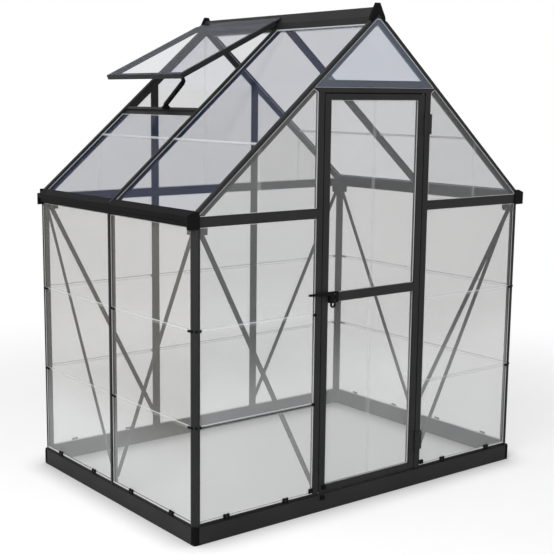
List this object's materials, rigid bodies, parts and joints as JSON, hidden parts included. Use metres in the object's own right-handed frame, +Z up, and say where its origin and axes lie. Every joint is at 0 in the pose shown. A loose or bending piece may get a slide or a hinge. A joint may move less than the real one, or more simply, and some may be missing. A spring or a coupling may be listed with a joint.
{
  "type": "polycarbonate greenhouse",
  "caption": "Walk-in hobby greenhouse with a dark aluminium frame on a base channel, clear polycarbonate sheets, a hinged door in the gable, gutters and an open roof vent.",
  "frame": {"origin": "centre of the base's footprint, on the ground", "axes": "+X across the door gable, to the right seen from outside; +Y from the door gable to the back gable; +Z up"},
  "size_m": [1.906, 1.265, 2.114],
  "materials": {
    "frame_metal": "satin powder coat",
    "black_plastic": "moulded, matt",
    "clear_sheet": "clear extruded polycarbonate"
  },
  "bodies": {
    "frame": {"base_sides": "frame_metal", "corner_posts": "frame_metal", "mid_posts": "frame_metal", "door_studs": "frame_metal", "back_studs": "frame_metal", "bottom_rails_front": "frame_metal", "bottom_rails_back": "frame_metal", "bottom_rails_left": "frame_metal", "bottom_rails_right": "frame_metal", "eave_ties_front": "frame_metal", "eave_ties_back": "frame_metal", "gutter_left": "frame_metal", "gutter_right": "frame_metal", "door_header": "frame_metal", "rafters_left": "frame_metal", "rafters_right": "frame_metal", "ridge": "frame_metal", "braces_front": "frame_metal", "braces_back": "frame_metal", "braces_left": "frame_metal", "braces_right": "frame_metal", "vent_sill": "frame_metal", "vent_frame": "frame_metal", "hinge_leaves_frame": "frame_metal", "base_corners": "black_plastic", "gutter_end_caps": "black_plastic", "ridge_end_caps": "black_plastic", "vent_stay": "black_plastic", "wall_sheets_front": "clear_sheet", "wall_sheets_back": "clear_sheet", "wall_sheets_left": "clear_sheet", "wall_sheets_right": "clear_sheet", "gable_sheets_front": "clear_sheet", "gable_sheets_back": "clear_sheet", "roof_sheets_left": "clear_sheet", "roof_sheets_right": "clear_sheet", "sheet_joints": "clear_sheet", "vent_sheet": "clear_sheet"},
    "door": {"door_stiles": "frame_metal", "door_rails": "frame_metal", "hinge_leaves_door": "frame_metal", "door_sheets": "clear_sheet", "door_joint": "clear_sheet", "door_latch": "black_plastic"}
  },
  "joints": [
    {"name": "door_hinge", "type": "hinge", "parent": "frame", "child": "door", "pos_m": [0.28425, -0.626, 0.9], "axis": [0, 0, 1], "range_deg": [0, 150]}
  ]
}
